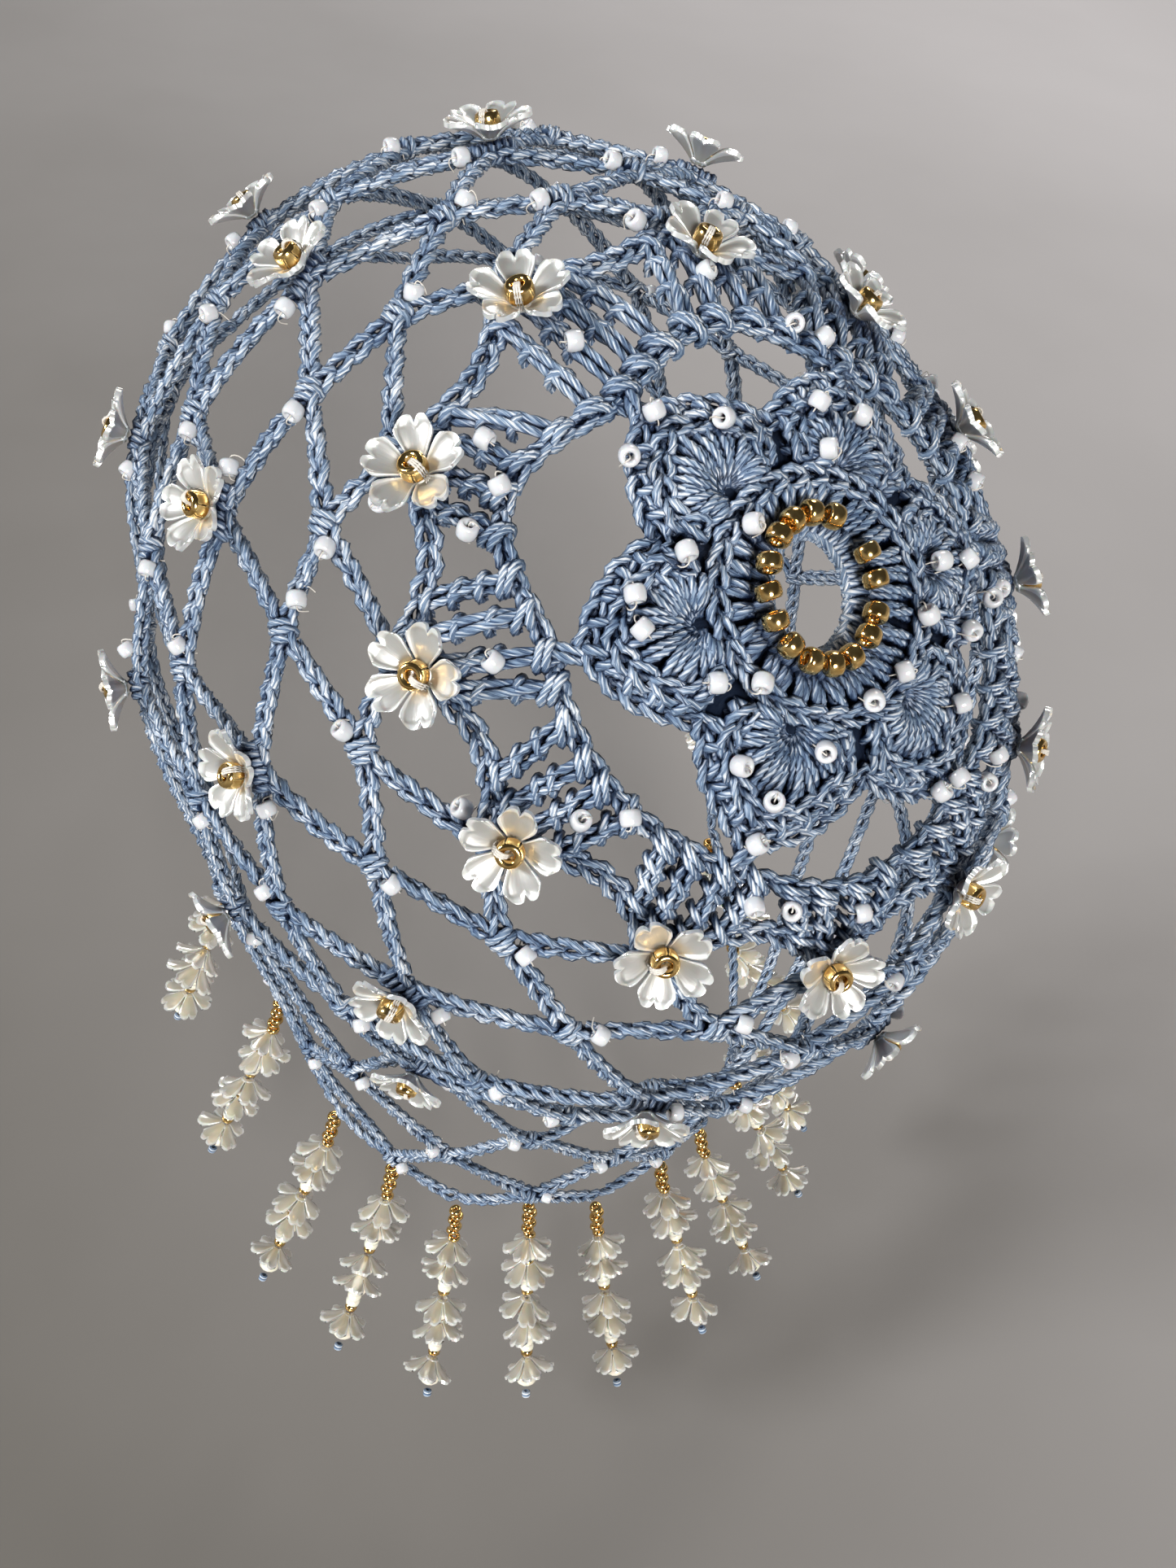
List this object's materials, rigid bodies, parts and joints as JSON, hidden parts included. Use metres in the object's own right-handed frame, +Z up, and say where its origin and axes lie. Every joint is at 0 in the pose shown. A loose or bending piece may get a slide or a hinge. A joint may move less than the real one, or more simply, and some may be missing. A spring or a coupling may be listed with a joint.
{
  "type": "mesh beanie",
  "caption": "Crocheted net cap with an open petal crown, pearl blossoms with gold centres, and a beaded fringe hanging round the nape.",
  "frame": {"origin": "top of the wearer's head, on the inside of the cap", "axes": "+Z up, the wearer faces -Y, the nape is towards +Y and the wearer's left is +X"},
  "size_m": [0.1799, 0.1974, 0.2656],
  "materials": {
    "cotton_net": "marled denim-blue cotton yarn, matt with a soft sheen",
    "cotton_crown": "marled denim-blue cotton yarn, matt with a soft sheen",
    "gold_bead": "polished gold plate",
    "pearl_blossom": "pearl lustre",
    "pearl_fringe": "pearl lustre with gold beads"
  },
  "bodies": {
    "root": {"crown_rosette": "cotton_crown", "bead_ring": "gold_bead", "trellis_band": "cotton_crown", "net": "cotton_net", "blossom_crown_01": "pearl_blossom", "blossom_crown_02": "pearl_blossom", "blossom_crown_03": "pearl_blossom", "blossom_crown_04": "pearl_blossom", "blossom_crown_05": "pearl_blossom", "blossom_crown_06": "pearl_blossom", "blossom_crown_07": "pearl_blossom", "blossom_crown_08": "pearl_blossom", "blossom_crown_09": "pearl_blossom", "blossom_crown_10": "pearl_blossom", "blossom_crown_11": "pearl_blossom", "blossom_crown_12": "pearl_blossom", "blossom_middle_01": "pearl_blossom", "blossom_middle_02": "pearl_blossom", "blossom_middle_03": "pearl_blossom", "blossom_middle_04": "pearl_blossom", "blossom_middle_05": "pearl_blossom", "blossom_middle_06": "pearl_blossom", "blossom_middle_07": "pearl_blossom", "blossom_middle_08": "pearl_blossom", "blossom_middle_09": "pearl_blossom", "blossom_middle_10": "pearl_blossom", "blossom_middle_11": "pearl_blossom", "blossom_middle_12": "pearl_blossom", "blossom_rim_01": "pearl_blossom", "blossom_rim_02": "pearl_blossom", "blossom_rim_03": "pearl_blossom", "blossom_rim_04": "pearl_blossom", "blossom_rim_05": "pearl_blossom", "blossom_rim_06": "pearl_blossom", "blossom_rim_07": "pearl_blossom", "blossom_rim_08": "pearl_blossom", "blossom_rim_09": "pearl_blossom", "blossom_rim_10": "pearl_blossom", "blossom_rim_11": "pearl_blossom", "blossom_rim_12": "pearl_blossom", "fringe_strand_01": "pearl_fringe", "fringe_strand_02": "pearl_fringe", "fringe_strand_03": "pearl_fringe", "fringe_strand_04": "pearl_fringe", "fringe_strand_05": "pearl_fringe", "fringe_strand_06": "pearl_fringe", "fringe_strand_07": "pearl_fringe", "fringe_strand_08": "pearl_fringe", "fringe_strand_09": "pearl_fringe", "fringe_strand_10": "pearl_fringe", "fringe_strand_11": "pearl_fringe", "fringe_strand_12": "pearl_fringe", "fringe_strand_13": "pearl_fringe", "fringe_strand_14": "pearl_fringe"}
  },
  "joints": []
}
